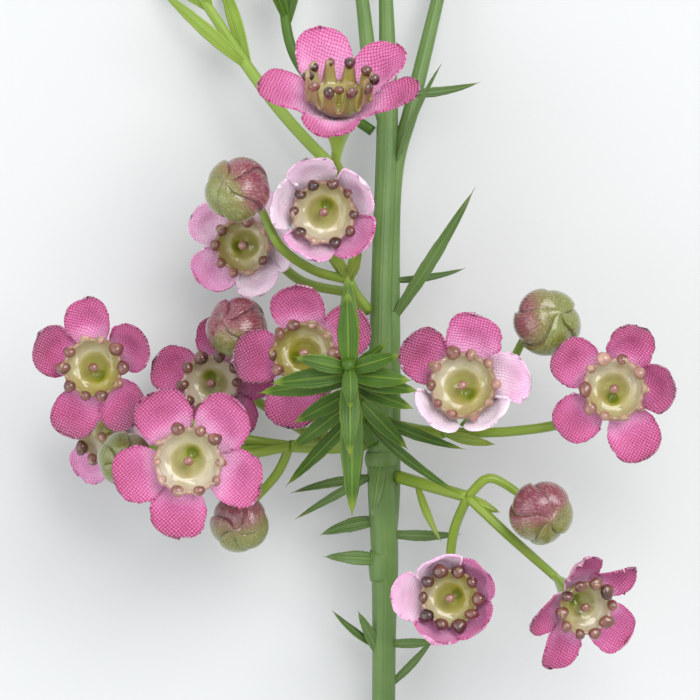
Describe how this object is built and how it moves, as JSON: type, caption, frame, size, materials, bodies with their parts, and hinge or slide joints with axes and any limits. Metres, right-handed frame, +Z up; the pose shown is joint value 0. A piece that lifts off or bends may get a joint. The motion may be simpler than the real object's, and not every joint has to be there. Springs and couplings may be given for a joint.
{
  "type": "waxflower stem",
  "caption": "Cut waxflower stem lying on its side, with cloth five-petalled blooms around glossy cups, round folded buds, thin twigs and narrow leaves",
  "frame": {"origin": "middle of the bounding box seen from above, at the height of the table it lies on", "axes": "+Y along the stem from the cut end to the leafy top, +Z up, and the blooms face up, +X to the right seen from above"},
  "size_m": [0.096, 0.1872, 0.045],
  "materials": {
    "stem": "moulded soft plastic, bluish green, satin, with fine mould lines along it",
    "leaf": "moulded soft plastic, mid green with a paler midrib, edges and tip, satin",
    "young_leaf": "moulded soft plastic, light yellow green, satin",
    "twig": "moulded soft plastic, yellow green, satin",
    "petal_rose": "plain-woven cloth, dyed deep pink at the edges and pale at the foot",
    "petal_magenta": "plain-woven cloth, dyed deep magenta pink at the edges",
    "petal_pink": "plain-woven cloth, dyed mid pink, some petals nearly white",
    "petal_blush": "plain-woven cloth, dyed pale pink",
    "cup": "glossy translucent yellow-green plastic, with mauve-brown glossy beads at the rim",
    "bud_plum": "glossy moulded plastic, plum over olive",
    "bud_olive": "glossy moulded plastic, olive green with a purple side",
    "bud_mixed": "glossy moulded plastic, half plum and half olive"
  },
  "bodies": {
    "root": {"main_stem": "stem", "shoot_front": "leaf", "shoot_upper_left": "young_leaf", "shoot_upper_mid": "leaf", "twig_up": "twig", "twig_left": "twig", "twig_right": "twig", "twig_low": "twig", "petals_bloom_top": "petal_rose", "cup_bloom_top": "cup", "petals_bloom_pale_high": "petal_blush", "cup_bloom_pale_high": "cup", "petals_bloom_pale_left": "petal_blush", "cup_bloom_pale_left": "cup", "petals_bloom_far_left": "petal_magenta", "cup_bloom_far_left": "cup", "petals_bloom_behind_left": "petal_magenta", "cup_bloom_behind_left": "cup", "petals_bloom_low_left": "petal_rose", "cup_bloom_low_left": "cup", "petals_bloom_pale_back": "petal_blush", "cup_bloom_pale_back": "cup", "petals_bloom_middle": "petal_magenta", "cup_bloom_middle": "cup", "petals_bloom_right": "petal_pink", "cup_bloom_right": "cup", "petals_bloom_far_right": "petal_magenta", "cup_bloom_far_right": "cup", "petals_bloom_low_right": "petal_blush", "cup_bloom_low_right": "cup", "petals_bloom_corner": "petal_magenta", "cup_bloom_corner": "cup", "bud_high": "bud_plum", "bud_right": "bud_olive", "bud_low_right": "bud_mixed", "bud_behind": "bud_plum", "bud_green_left": "bud_olive", "bud_low_left": "bud_mixed"}
  },
  "joints": []
}
